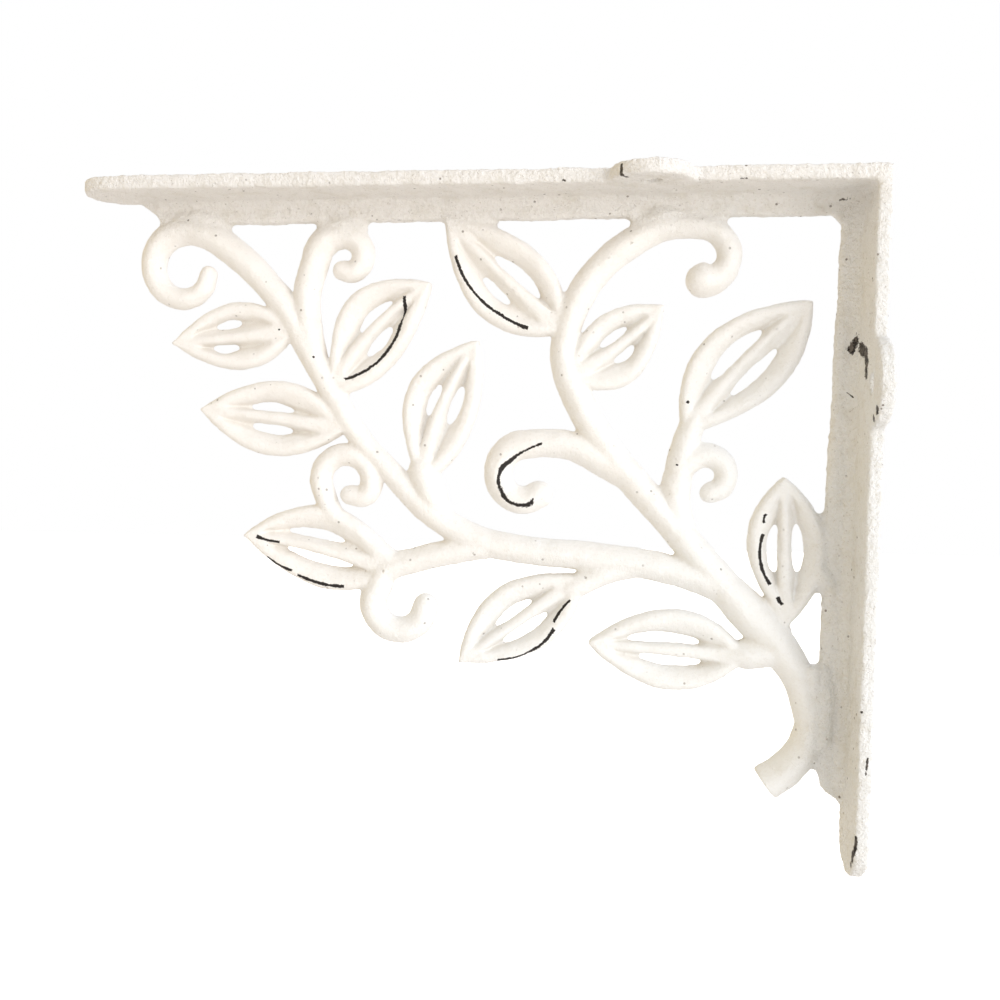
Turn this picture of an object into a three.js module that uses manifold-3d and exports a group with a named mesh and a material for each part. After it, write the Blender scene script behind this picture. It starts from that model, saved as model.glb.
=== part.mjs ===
// Ornate cast iron shelf bracket, one casting, in millimetres.
// The wall face is the plane x = 0, the shelf face is the top, and the openwork lies along the back.
// The origin is on the wall face, at half its height and half the depth of the rails.
import * as THREE from 'three';
import { mergeVertices } from 'three/addons/utils/BufferGeometryUtils.js';
import Module from 'manifold-3d';

// Driving dimensions of the two rails
const shelfLength = 239;
const wallHeight = 205;
const railDepth = 25;
const flangeThickness = 4.2;
const edgeBevel = 0.7;
const webThickness = 4.5;
const webCove = 3;
const webCornerRadius = 3.4;
const shelfWebAtCorner = 9.9;
const shelfWebAtEnd = 10.8;
const shelfWebGap = 13;
const wallWebAtCorner = 9.4;
const wallWebAtEnd = 11.7;
const wallWebTaper = 100;
const wallWebGap = 19;

// Each end of the web slopes up to its flange in short straight runs
const shelfSlope = 6.4;
const shelfSlopeShoulder = 4.6;
const shelfShoulderRise = 2.8;
const shelfSlopeFoot = 0.6;
const wallSlope = 10;
const wallSlopeShoulder = 4.4;
const wallShoulderInset = 1.6;
const wallSlopeFoot = 2.2;
const wallSlopeRise = 2;
const slopeRunOut = 3;
const coveEndGap = 6;

// Screw ears: each is a half round on the front edge of a flange, with a hole near that edge
const shelfEarFromWall = 65.8;
const shelfEarRadius = 11.5;
const wallEarFromTop = 60.2;
const wallEarRadius = 12.6;
const earStraight = 0.6;
const holeDiameter = 6;
const holeBehindEdge = 0.8;

// Stems are half round, higher where they are wider, and the leaves lie lower than the stems
const stemFoot = 3;
const stemRise = 0.42;
const startRise = 0.6;
const longestStep = 6.8;
const widestTurn = 0.36;
const leafHeight = 5.2;
const rimWidth = 3.3;
const midribWidth = 2.6;
const midribTaper = 0.4;
const leafFullness = 0.8;

// A valley runs between these shares of the leaf's length, and its floor drops in steps towards the slot
const valleyStart = 0.1;
const valleyEnd = 0.93;
const shallowest = 0.4;
const halfway = 0.6 * leafHeight;
const nearSlot = 0.9 * leafHeight;
const slotEndStep = 0.01;
const closedSlot = 0.3;

// The vine is drawn on a bracket of this length and height, its heights counted from a line below the top.
// It stretches with the rails.
const drawnLength = 239;
const drawnHeight = 205;
const drawnTop = 103;

const top = wallHeight / 2;
const back = railDepth / 2;
const across = shelfLength / drawnLength;
const upright = wallHeight / drawnHeight;

function vine(x, z) {
  return new THREE.Vector2(x * across, top + (z - drawnTop) * upright);
}

const wasm = await Module();
wasm.setup();

function solid(geometry) {
  const bare = geometry.clone();
  bare.deleteAttribute('normal');
  bare.deleteAttribute('uv');
  const merged = mergeVertices(bare, 1e-5);
  const mesh = new wasm.Mesh({
    numProp: 3,
    vertProperties: new Float32Array(merged.attributes.position.array),
    triVerts: new Uint32Array(merged.index.array),
  });
  return new wasm.Manifold(mesh);
}

function joined(solids) {
  return solids.reduce((whole, next) => whole.add(next));
}

// Moves every vertex of a geometry by a function that returns its new place
function mapped(geometry, place) {
  const position = geometry.attributes.position;
  for (let i = 0; i < position.count; i += 1) {
    const spot = place(position.getX(i), position.getY(i), position.getZ(i));
    position.setXYZ(i, spot[0], spot[1], spot[2]);
  }
  return geometry;
}

// A straight bar of a section in u and v, with one ring of vertices at each whole number along it
function bar(sectionPoints, steps) {
  const section = new THREE.Shape(sectionPoints.map(([u, v]) => new THREE.Vector2(u, v)));
  return new THREE.ExtrudeGeometry(section, { depth: steps, steps, bevelEnabled: false, curveSegments: 1 });
}

// A solid from loose triangles, whose order is turned round when a map has mirrored them
function closedSolid(geometry) {
  const body = solid(geometry);
  if (body.volume() > 0) {
    return body;
  }
  const position = geometry.attributes.position;
  for (let i = 0; i < position.count; i += 3) {
    const first = new THREE.Vector3().fromBufferAttribute(position, i);
    const third = new THREE.Vector3().fromBufferAttribute(position, i + 2);
    position.setXYZ(i, third.x, third.y, third.z);
    position.setXYZ(i + 2, first.x, first.y, first.z);
  }
  return solid(geometry);
}

// One rail's flange, drawn flat: u runs from the corner along the rail, v from the back edge to the front
function flange(length, earAt, earRadius) {
  const outline = new THREE.Shape();
  const tip = railDepth / 2;
  const holeAt = railDepth - holeBehindEdge;
  outline.moveTo(0, 0);
  outline.lineTo(length - tip, 0);
  outline.absarc(length - tip, tip, tip, -Math.PI / 2, Math.PI / 2, false);
  outline.lineTo(earAt + earRadius, railDepth);
  outline.absarc(earAt, railDepth - earStraight, earRadius, 0.05, Math.PI - 0.05, false);
  outline.lineTo(0, railDepth);
  const hole = new THREE.Path();
  hole.absarc(earAt, holeAt, holeDiameter / 2, 0, Math.PI * 2, true);
  outline.holes.push(hole);
  return new THREE.ExtrudeGeometry(outline, {
    depth: flangeThickness - 2 * edgeBevel,
    bevelEnabled: true,
    bevelThickness: edgeBevel,
    bevelSize: edgeBevel,
    bevelOffset: -edgeBevel,
    bevelSegments: 1,
    curveSegments: 9,
  }).translate(0, 0, edgeBevel);
}

function shelfFlange() {
  const flat = flange(shelfLength, shelfEarFromWall, shelfEarRadius);
  return closedSolid(mapped(flat, (u, v, w) => [-u, back - v, top - w]));
}

function wallFlange() {
  const flat = flange(wallHeight, wallEarFromTop, wallEarRadius);
  return closedSolid(mapped(flat, (u, v, w) => [-w, back - v, top - u]));
}

// The web stands along the back edge of both flanges, and its two ends slope up to them
function web() {
  const hidden = flangeThickness / 2;
  const shelfEnd = -shelfLength + shelfWebGap;
  const wallEnd = -top + wallWebGap;
  const outline = new THREE.Shape();
  outline.moveTo(-hidden, top - hidden);
  outline.lineTo(shelfEnd - slopeRunOut, top - hidden);
  outline.lineTo(shelfEnd, top - flangeThickness - shelfSlopeFoot);
  outline.lineTo(shelfEnd + shelfSlopeShoulder, top - shelfWebAtEnd + shelfShoulderRise);
  outline.lineTo(shelfEnd + shelfSlope, top - shelfWebAtEnd);
  outline.lineTo(-wallWebAtCorner - webCornerRadius, top - shelfWebAtCorner);
  outline.absarc(
    -wallWebAtCorner - webCornerRadius,
    top - shelfWebAtCorner - webCornerRadius,
    webCornerRadius,
    Math.PI / 2,
    0,
    true,
  );
  outline.lineTo(-wallWebAtEnd, top - wallWebTaper);
  outline.lineTo(-wallWebAtEnd, wallEnd + wallSlope);
  outline.lineTo(-wallWebAtEnd + wallShoulderInset, wallEnd + wallSlopeShoulder);
  outline.lineTo(-flangeThickness - wallSlopeFoot, wallEnd + wallSlopeRise);
  outline.lineTo(-flangeThickness, wallEnd - slopeRunOut);
  outline.lineTo(-hidden, wallEnd - slopeRunOut);
  const flat = new THREE.ExtrudeGeometry(outline, { depth: webThickness, bevelEnabled: false, curveSegments: 4 });
  return closedSolid(mapped(flat, (u, v, w) => [u, back - w, v]));
}

// The cove fills the inside corner between the web and a flange
function cove(length, place) {
  const hidden = 0.4;
  const hollow = 0.35 * webCove;
  const section = [[-hidden, -hidden], [webCove, -hidden], [hollow, hollow], [-hidden, webCove]];
  return closedSolid(mapped(bar(section, 1), (u, v, w) => place(u, v, w * length)));
}

function coves() {
  const face = back - webThickness;
  const hidden = flangeThickness / 2;
  const shelfRun = shelfLength - shelfWebGap - coveEndGap;
  const wallRun = wallHeight - wallWebGap - coveEndGap;
  return joined([
    cove(shelfRun, (u, v, w) => [-hidden - w, face - u, top - flangeThickness - v]),
    cove(wallRun, (u, v, w) => [-flangeThickness - v, face - u, top - hidden - w]),
  ]);
}

// A curl is a short spiral: its centre, its radii, its angles in degrees and its widths, each from start to end.
// A swelling above one keeps the first width for longer.
function curl(x, z, radii, angles, widths, count = 8, swelling = 1) {
  const knots = [];
  for (let i = 0; i < count; i += 1) {
    const k = i / (count - 1);
    const angle = THREE.MathUtils.degToRad(THREE.MathUtils.lerp(angles[0], angles[1], k));
    const radius = THREE.MathUtils.lerp(radii[0], radii[1], k);
    const width = THREE.MathUtils.lerp(widths[0], widths[1], k ** swelling);
    knots.push([x + radius * Math.cos(angle), z + radius * Math.sin(angle), width]);
  }
  return knots;
}

// Knots of a stem are x, z and width
const stems = [
  {
    name: 'left main stem up to the curl under the shelf tip',
    knots: [
      [-24, -35, 11], [-32.5, -26, 11], [-42, -18.9, 10], [-56, -14.2, 9.4], [-80, -10.6, 9.2], [-107, -8.4, 8.9],
      [-119, -5.4, 9], [-134, 3.5, 8.6], [-147, 16.5, 7.2], [-155.5, 25.5, 7.2], [-164.5, 40, 8], [-172, 53, 8.6],
      [-179, 65.5, 8.8], [-186.5, 74.5, 9], [-194.5, 82, 9.4],
      ...curl(-212.3, 78, [13, 7.5], [62, 350], [9.6, 5.6], 9),
    ],
  },
  {
    name: 'second curl under the shelf',
    knots: [
      [-169.5, 48, 8], [-172.2, 62, 8.4], [-172.5, 71, 8.8], [-170.2, 79.5, 9.2], [-167, 86.4, 9.4],
      ...curl(-160, 81.3, [7.2, 3.8], [100, -105], [8.2, 6.6]),
    ],
  },
  {
    name: 'right main stem up to the curl near the corner',
    knots: [
      [-14, -58, 10], [-17.5, -47, 10], [-24.5, -36, 11.5], [-34, -26, 12], [-46, -13, 10.5], [-57, 0, 9.6],
      [-69, 13, 9.6], [-79, 25, 9.6], [-87.4, 39.5, 9.4], [-91, 49, 8.6], [-90.6, 58, 8.4], [-86.6, 69.5, 9.2],
      [-80.6, 77.9, 9], [-73, 84.4, 9.2], [-61.5, 90, 8.4],
      ...curl(-50, 80.3, [9.2, 6.2], [92, -84], [8, 11.2], 8, 2),
    ],
  },
  {
    name: 'cut end of the trunk',
    knots: [[-14.6, -42, 9], [-13.4, -56, 9.6], [-15.6, -67, 10], [-20.5, -74.5, 11], [-27, -79.4, 11.4]],
    sawn: true,
  },
  {
    name: 'curl below the largest leaf',
    knots: [[-51, -8, 7], [-56, 6, 8.6], [-56.5, 14, 8], ...curl(-46.9, 14.8, [7.4, 4.8], [145, -77], [7.8, 6.6])],
  },
  {
    name: 'curl in the middle',
    knots: [
      [-67.5, 11.5, 7], [-78, 18.8, 9.6], [-88, 23.6, 9], [-96, 24.6, 9],
      ...curl(-102.5, 14.4, [9.8, 7.2], [84, 306], [9.2, 7.8]),
    ],
  },
  {
    name: 'left branch and the curl below it',
    knots: [
      [-114, -8, 8], [-124, -9.8, 8.2], [-136.6, -12.9, 8.2], [-147, -17.2, 8.4],
      ...curl(-141.8, -27, [9, 7.8], [140, 366], [8.4, 6.8]),
    ],
  },
  {
    name: 'curl above the left branch',
    knots: [
      [-142, -15.5, 7], [-148.5, -10.5, 6.6], [-156.4, -3.7, 6.2], [-163.5, 0.7, 6.4],
      ...curl(-159.7, 12, [8.4, 8.2], [212, 0], [7.4, 7.2], 6), [-153.8, 7, 7], [-158.4, 7.2, 6.6],
    ],
  },
  { name: 'stalk of the leaf beside the left main stem', knots: [[-129, -3, 9], [-132.6, 6.5, 10.6], [-134.8, 15, 10]] },
  { name: 'stalk of the largest leaf', knots: [[-55.5, 1, 7], [-55.8, 13, 8.6], [-54, 24, 8.4], [-51.5, 32, 7.5]] },
  { name: 'stalk of the lower middle leaf', knots: [[-62, -12.5, 7], [-76, -15, 7.6], [-87, -20.2, 8]] },
  { name: 'stalk of the leaf beside the trunk', knots: [[-24, -38, 9.5], [-38, -39.7, 9.5]] },
  { name: 'joint between the upright leaf and the wall rail', knots: [[-14, -10, 6], [-11.5, -15, 7.5], [-9, -17.5, 6]] },
];

// A leaf runs from its base to its tip along a bowed midrib. Each side has its half width and its fullness
// towards the tip. Then come the start and end of its slot as shares of the length, the place of the slot
// as a share of the half width, and the slot's width.
const leaves = [
  { base: [-177, 58.5], tip: [-216.5, 54.6], bow: 0,
    left: [10.2, 0.85, 0.46, 0.7, 0.31, 2.5], right: [11.2, 0.85, 0.42, 0.65, 0.41, 2.2] },
  { base: [-160, 27.6], tip: [-207.3, 33.8], bow: -0.7,
    left: [12.2, 0.85, 0.36, 0.65, 0.31, 2.6], right: [12, 0.85, 0.36, 0.68, 0.25, 2.4] },
  { base: [-165, 39.5], tip: [-132.8, 73.6], bow: 3.2,
    left: [12.8, 1.2, 0.42, 0.74, 0.26, 3], right: [11.8, 0.85, 0.35, 0.62, 0.3, 3.2] },
  { base: [-135.6, 10.5], tip: [-117.6, 56], bow: 3.2,
    left: [12.2, 1.15, 0.42, 0.66, 0.28, 2.6], right: [11.5, 0.95, 0.42, 0.7, 0.34, 3] },
  { base: [-91.4, 59], tip: [-128.2, 93.5], bow: 1,
    left: [13.4, 0.85, 0.35, 0.6, 0.35, 2.4], right: [12.8, 0.85, 0.24, 0.63, 0.26, 3.4] },
  { base: [-90, 45], tip: [-61.2, 66.6], bow: -1.8,
    left: [10.8, 1, 0.36, 0.65, 0.31, 2.2], right: [11.2, 0.75, 0.38, 0.62, 0.27, 2.4] },
  { base: [-54, 27.5], tip: [-17.4, 68], bow: 2.4,
    left: [13.2, 0.85, 0.32, 0.71, 0.28, 4], right: [13.4, 1.15, 0.33, 0.69, 0.36, 3] },
  { base: [-22.6, -31], tip: [-24.1, 15.4], bow: 0,
    left: [11, 1.25, 0.36, 0.7, 0.22, 2.8], right: [13, 1.05, 0.36, 0.69, 0.33, 3.2] },
  { base: [-84.5, -16.5], tip: [-122.8, -44.9], bow: 0.2,
    left: [11.4, 0.85, 0.33, 0.69, 0.31, 2.8], right: [12, 1.05, 0.36, 0.67, 0.25, 2.4] },
  { base: [-145.5, -16.5], tip: [-193.2, -6.2], bow: -1.5,
    left: [12.4, 0.8, 0.24, 0.72, 0.26, 2.6], right: [13.7, 0.92, 0.33, 0.73, 0.31, 2.6] },
  { base: [-34, -40], tip: [-82.3, -37.3], bow: 0,
    left: [12.6, 0.88, 0.26, 0.67, 0.28, 2.9], right: [12.6, 0.85, 0.28, 0.76, 0.23, 2.8] },
];

// A stem is a half round bar laid along a smooth line through its knots
function stem({ knots, sawn }) {
  const section = [[-1, 0], [1, 0], [1, 0.36], [0.64, 0.84], [0, 1], [-0.64, 0.84], [-1, 0.36]];
  const stations = stationsAlong(knots);
  if (!sawn) {
    stations.push(...roundEnd(stations.at(-1)));
  }
  const place = (u, v, w) => {
    const at = stations[Math.round(w)];
    const reach = (u * at.width) / 2;
    const height = v * at.rise * (stemFoot + stemRise * at.width);
    return [at.x - at.along.y * reach, back - height, at.z + at.along.x * reach];
  };
  return closedSolid(mapped(bar(section, stations.length - 1), place));
}

// The stations lie closer together where the line turns more sharply
function stationsAlong(knots) {
  const points = knots.map(([x, z, width]) => {
    const spot = vine(x, z);
    return new THREE.Vector3(spot.x, spot.y, width);
  });
  const line = new THREE.CatmullRomCurve3(points, false, 'catmullrom', 0.5);
  const count = Math.ceil(line.getLength());
  const fine = line.getSpacedPoints(count).map((spot, i) => {
    const along = line.getTangentAt(i / count).setZ(0).normalize();
    return { x: spot.x, z: spot.y, width: spot.z, along, rise: Math.min(1, startRise + i / 10) };
  });
  const kept = [fine[0]];
  for (const next of fine.slice(1, -1)) {
    const last = kept.at(-1);
    const gone = Math.hypot(next.x - last.x, next.z - last.z);
    if (gone > longestStep || next.along.angleTo(last.along) > widestTurn) {
      kept.push(next);
    }
  }
  kept.push(fine.at(-1));
  return kept;
}

// The last half width of a curl narrows to a round nose
function roundEnd(end) {
  return [0.5, 0.86, 1].map((k) => {
    const narrow = Math.max(Math.sqrt(1 - k * k), 0.08);
    const ahead = (k * end.width) / 2;
    return {
      x: end.x + end.along.x * ahead,
      z: end.z + end.along.y * ahead,
      width: end.width * narrow,
      along: end.along,
      rise: 0.7 + 0.3 * narrow,
    };
  });
}

// Gives the place on a leaf for a share of its length and a distance from its midrib, left positive
function leafFrame({ base, tip, bow }) {
  const start = vine(...base);
  const end = vine(...tip);
  const along = end.clone().sub(start);
  const side = new THREE.Vector2(-along.y, along.x).normalize();
  return (s, distance) => {
    const spot = start.clone().addScaledVector(along, s);
    return spot.addScaledVector(side, bow * 4 * s * (1 - s) + distance);
  };
}

function halfWidth(s, [width, fullness]) {
  return width * Math.max(Math.sin(Math.PI * s ** fullness), 0) ** leafFullness;
}

function leaf(shape) {
  const frame = leafFrame(shape);
  const count = 9;
  const shares = Array.from({ length: count + 1 }, (_, i) => 0.5 - 0.5 * Math.cos((Math.PI * i) / count));
  const outline = [
    ...shares.map((s) => [s, halfWidth(s, shape.left)]),
    ...shares.slice(1, -1).reverse().map((s) => [s, -halfWidth(s, shape.right)]),
  ];
  const levels = [
    { height: 0, inset: 0 },
    { height: 0.45, inset: 0 },
    { height: 0.86, inset: 0.8 },
    { height: 1, inset: 1.9 },
  ];
  const place = (u, v, w) => {
    const { height, inset } = levels[Math.round(w)];
    const distance = Math.sign(v) * (Math.abs(v) - Math.min(inset, 0.5 * Math.abs(v)));
    const spot = frame(u, distance);
    return [spot.x, back - height * leafHeight, spot.y];
  };
  const plate = closedSolid(mapped(bar(outline, levels.length - 1), place));
  return plate.subtract(valley(frame, shape.left, 1)).subtract(valley(frame, shape.right, -1));
}

// A valley between rim and midrib is steep beside the midrib, and its floor opens into the slot
function valley(frame, side, sign) {
  const [, , slotStart, slotEnd, slotShare, slotWidth] = side;
  const above = 0.5;
  const through = leafHeight + above;
  const slotLength = slotEnd - slotStart;
  const open = 0.86 * slotWidth;
  const stations = [
    [valleyStart, shallowest, closedSlot],
    [(valleyStart + slotStart) / 2, halfway, closedSlot],
    [slotStart - slotEndStep, nearSlot, closedSlot],
    [slotStart + slotEndStep, through, closedSlot],
    [slotStart + 0.25 * slotLength, through, open],
    [slotStart + 0.75 * slotLength, through, open],
    [slotEnd - slotEndStep, through, closedSlot],
    [slotEnd + slotEndStep, nearSlot, closedSlot],
    [(slotEnd + valleyEnd) / 2, halfway, closedSlot],
    [valleyEnd, shallowest, closedSlot],
  ];
  const place = (u, v, w) => {
    const [s, depth, width] = stations[Math.round(w)];
    const inside = (midribWidth / 2) * (1 - midribTaper * s);
    const outside = Math.max(halfWidth(s, side) - rimWidth, inside + 0.6);
    const floor = Math.max(slotShare * halfWidth(s, side), inside + 0.1 + width / 2);
    const crest = u > 0 ? outside : inside;
    const foot = Math.min(floor, outside) + (Math.sign(u) * width) / 2;
    const spot = frame(s, sign * (v > 0 ? foot : crest));
    return [spot.x, back - leafHeight - above + v * (depth + above), spot.y];
  };
  return closedSolid(mapped(bar([[-1, 0], [1, 0], [1, 1], [-1, 1]], stations.length - 1), place));
}

const casting = joined([
  shelfFlange(),
  wallFlange(),
  web(),
  coves(),
  ...stems.map(stem),
  ...leaves.map(leaf),
]);

const result = casting.getMesh();
const geometry = new THREE.BufferGeometry();
geometry.setAttribute('position', new THREE.BufferAttribute(result.vertProperties, 3));
geometry.setIndex(new THREE.BufferAttribute(result.triVerts, 1));
geometry.computeVertexNormals();

const ivoryPaint = new THREE.MeshStandardMaterial({ color: 0xf3eee2, roughness: 0.55, metalness: 0 });
const bracket = new THREE.Mesh(geometry, ivoryPaint);
bracket.name = 'bracket';

const part = new THREE.Group();
part.add(bracket);
export default part;
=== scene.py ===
import math

import bmesh
import bpy
from mathutils import Matrix, Vector


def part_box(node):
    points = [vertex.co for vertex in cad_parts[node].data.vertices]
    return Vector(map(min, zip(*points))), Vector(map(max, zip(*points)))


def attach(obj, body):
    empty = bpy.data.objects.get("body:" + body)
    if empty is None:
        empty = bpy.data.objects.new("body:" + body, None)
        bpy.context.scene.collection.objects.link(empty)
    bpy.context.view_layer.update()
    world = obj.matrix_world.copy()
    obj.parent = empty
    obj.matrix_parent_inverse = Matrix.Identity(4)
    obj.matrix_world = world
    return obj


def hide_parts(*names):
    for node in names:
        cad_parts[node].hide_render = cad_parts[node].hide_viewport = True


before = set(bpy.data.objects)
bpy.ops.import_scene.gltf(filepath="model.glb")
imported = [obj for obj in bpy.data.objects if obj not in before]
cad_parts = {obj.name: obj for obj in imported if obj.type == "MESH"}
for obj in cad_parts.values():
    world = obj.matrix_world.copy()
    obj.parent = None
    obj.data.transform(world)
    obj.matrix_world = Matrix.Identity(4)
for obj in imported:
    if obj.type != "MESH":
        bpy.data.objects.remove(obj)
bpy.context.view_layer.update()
bpy.ops.object.select_all(action="DESELECT")

MM = 0.001

# The rails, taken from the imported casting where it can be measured
casting_low, casting_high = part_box("bracket")
SHELF_LENGTH = -casting_low.x / MM
TOP = casting_high.z / MM
BOTTOM = casting_low.z / MM
BACK = casting_high.y / MM
FRONT = -BACK
FLANGE = 4.2
TONGUE_ROUND = 12.3
TONGUE_STEPS = 12
WEB_THICKNESS = 4.5
SHELF_WEB_AT_CORNER = 9.9
SHELF_WEB_AT_END = 10.8
WALL_WEB_AT_CORNER = 9.4
WALL_WEB_AT_END = 11.7
WALL_WEB_TAPER = 100
SHELF_WEB_GAP = 13
WALL_WEB_GAP = 17.5
SHELF_WEB_ROUND = 1.4
WALL_WEB_ROUND = 2.8
WEB_ROUND_STEPS = 4
CLEAR_OF_FLANGE = 2
SHORTEST_LONG_EDGE = 5

# Edges sharper than this angle in degrees are softened by this much
SHARP_EDGE = 40
EDGE_SOFTNESS = 0.7

# The far end of each web: where its slope starts and its shoulder lies, counted from the end, and how far
# the shoulder and the end are moved
SHELF_SLOPE = 6.4
SHELF_SHOULDER = 4.6
SHELF_SHOULDER_RISE = 2.8
SHELF_END_RISE = 6
WALL_SLOPE = 10
WALL_SHOULDER = 4.4
WALL_SHOULDER_STEP = 1.6
WALL_END_WIDTH = 2.2
WALL_END_RISE = 2
SLOPE_RUN_OUT = 3

# The fillets between the flanges and the webs, and the one in the corner of the openwork
COVE = 2.4
COVE_END_GAP = 8
COVE_START = 2
CORNER_COVE = 2.6
CORNER_COVE_PLACE = (-9.6, 10)

# The screw ears: distance of the hole from the corner, and the radius of the half round
SHELF_EAR = (65.8, 11.5)
WALL_EAR = (60.2, 12.6)
EAR_STRAIGHT = 0.6
HOLE_DIAMETER = 6
HOLE_BEHIND_EDGE = 0.8
DISC_SIDES = 64

# Two lengths or heights count as the same when they are nearer to each other than this
SAME = 0.1

# The vine is drawn with the top of the shelf rail at this height
DRAWN_TOP = 103

# The stems: how far their axis lies from the flat back, where the knots of a rounded end lie as shares of
# its half width, the steps from knot to knot and round the section, and how near doubled points are
STEM_AXIS = 2.3
ROUNDED_END = (0.4, 0.7, 0.9, 0.99)
STEM_STEPS = 8
PROFILE_STEPS = 5
DOUBLED_POINTS = 0.02

# The section of a stem of half width one: how deep it goes below its axis, how far its sides stay straight
# there, and how its crest and its sides bend
STEM_DEPTH = 1.3
STEM_SIDE_DEPTH = 1.1
CREST_ROUND = 0.8
SIDE_LEAN = 0.91
SIDE_RISE = 0.42

# The section of a leaf: its height, its rim and midrib, and the valleys between them with their slots
LEAF_HEIGHT = 5.2
RIM_WIDTH = 4
RIM_EDGE = 0.6
MIDRIB_WIDTH = 4.8
MIDRIB_TAPER = 0.55
LEAF_FULLNESS = 0.8
VALLEY_DEPTH = 0.86 * LEAF_HEIGHT
VALLEY_DEPTH_AT_BASE = 0.6 * LEAF_HEIGHT
VALLEY_DEPTH_AT_TIP = 0.55 * LEAF_HEIGHT
VALLEY_START = 0.08
VALLEY_END = 0.95
VALLEY_DEPTH_AT_ENDS = 0.3
CLOSED_SLOT = 0.3

# The valley's depths at base and tip lie halfway between the slot and these shares of the leaf's length
BEFORE_SLOT = 0.1
AFTER_SLOT = 0.93

# A leaf is drawn on a grid: its rows, the lines on each side of the midrib, and the two beside a slot
LEAF_ROWS = 48
LEAF_LINES = 9
SLOT_LINES = (3, 4)

# How the rough casting is made from the joined pieces
GRAIN = 0.42
CORNER_FILL = 0.8
NEAR_RAILS = 18
NEAR_RAILS_FADE = 4
SMOOTHING = 0.5
SMOOTHING_PASSES = 5
MOST_TRIANGLES = 190000

# The roughness of the casting: a name, the size of its lumps, their height, and where it is if not all over
ROUGHNESS = [
    ("lumps", 6, 0.5, ""),
    ("sand", 1.8, 0.22, ""),
    ("waves_of_the_rails", 9, 0.6, "rails"),
    ("pits_of_the_rails", 1.4, 0.5, "rails"),
]


def curl(x, z, radii, angles, widths, count=8, swelling=1):
    """Knots of a short spiral: its centre, and its radii, angles in degrees and widths from start to end.

    With a swelling above one its width changes late.
    """
    knots = []
    for i in range(count):
        k = i / (count - 1)
        angle = math.radians(angles[0] + (angles[1] - angles[0]) * k)
        radius = radii[0] + (radii[1] - radii[0]) * k
        width = widths[0] + (widths[1] - widths[0]) * k**swelling
        knots.append((x + radius * math.cos(angle), z + radius * math.sin(angle), width))
    return knots


# Each stem is a list of knots: x, z and width
STEMS = {
    "left_main_stem": [
        (-24, -35, 11), (-32.5, -26, 11), (-42, -18.9, 10), (-56, -14.2, 9.4), (-80, -10.6, 9.2),
        (-107, -8.4, 8.9), (-119, -5.4, 9), (-134, 3.5, 8.6), (-147, 16.5, 7.2), (-155.5, 25.5, 7.2),
        (-164.5, 40, 8), (-172, 53, 8.6), (-179, 65.5, 8.8), (-186.5, 74.5, 9), (-194.5, 82, 9.4),
        *curl(-212.3, 78, (13, 7.5), (62, 350), (9.6, 5.6), 9),
    ],
    "second_curl_under_shelf": [
        (-169.5, 48, 8), (-172.2, 62, 8.4), (-172.5, 71, 8.8), (-170.2, 79.5, 9.2), (-167, 86.4, 9.4),
        *curl(-160, 81.3, (7.2, 3.8), (100, -105), (8.2, 6.6)),
    ],
    "right_main_stem": [
        (-14, -58, 10), (-17.5, -47, 10), (-24.5, -36, 11.5), (-34, -26, 12), (-46, -13, 10.5), (-57, 0, 9.6),
        (-69, 13, 9.6), (-79, 25, 9.6), (-87.4, 39.5, 9.4), (-91, 49, 8.6), (-90.6, 58, 8.4),
        (-86.6, 69.5, 9.2), (-80.6, 77.9, 9), (-73, 84.4, 9.2), (-61.5, 90, 8.4),
        *curl(-50, 80.3, (9.8, 6.2), (92, -84), (7.4, 11), 8, 4),
    ],
    "cut_end_of_trunk": [
        (-14.6, -42, 9), (-13.4, -56, 9.6), (-15.6, -67, 10), (-20.5, -74.5, 11), (-27, -79.4, 11.4),
    ],
    "curl_below_largest_leaf": [
        (-51, -8, 7), (-56, 6, 8.6), (-56.5, 14, 8), *curl(-46.9, 14.8, (7.4, 4.8), (145, -77), (7.8, 6.6)),
    ],
    "curl_in_the_middle": [
        (-67.5, 11.5, 7), (-78, 18.8, 9.6), (-88, 23.6, 9), (-96, 24.6, 9),
        *curl(-102.5, 14.4, (9.8, 7.2), (84, 306), (9.2, 8.6)),
    ],
    "left_branch_and_curl": [
        (-114, -8, 8), (-124, -9.8, 8.2), (-136.6, -12.9, 8.2), (-147, -17.2, 8.4),
        *curl(-141.8, -27.1, (9.2, 8), (140, 355), (9, 8.4)),
    ],
    "curl_above_left_branch": [
        (-142, -15.5, 7), (-148.5, -10.5, 6.6), (-156.4, -3.7, 6.2), (-163.5, 0.7, 6.4),
        *curl(-159.7, 11.6, (8.4, 8.2), (212, 0), (7.4, 7.2), 6), (-153.8, 7, 7), (-158.4, 7.2, 6.6),
    ],
    "stalk_beside_left_stem": [(-128, 1.5, 6), (-132, 7.5, 10), (-134.8, 15, 10)],
    "stalk_of_largest_leaf": [(-55.5, 1, 7), (-55.8, 13, 8.6), (-54, 24, 8.4), (-51.5, 32, 7.5)],
    "stalk_of_lower_middle_leaf": [(-62, -12.5, 7), (-76, -15, 7.6), (-87, -20.2, 8)],
    "stalk_beside_trunk": [(-24, -38, 9.5), (-34, -39.2, 9.6), (-41.5, -39.8, 5)],
    "joint_at_wall_rail": [(-14, -10, 6), (-11.5, -15, 7.5), (-9, -17.5, 6)],
    "swelling_beside_trunk": [(-11, -42, 6), (-10.5, -52, 9.6), (-10.8, -64, 9)],
    "swelling_at_right_curl": [(-71, 90.5, 4), (-63, 93, 8.4), (-54, 92.5, 6)],
    "swelling_at_left_curl": [(-217, 93.5, 5), (-208, 94, 8.6), (-201, 93.5, 5)],
    "swelling_at_second_curl": [(-168, 90, 4), (-161, 92, 7), (-155, 90, 4)],
}
SAWN = ["cut_end_of_trunk"]

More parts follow.
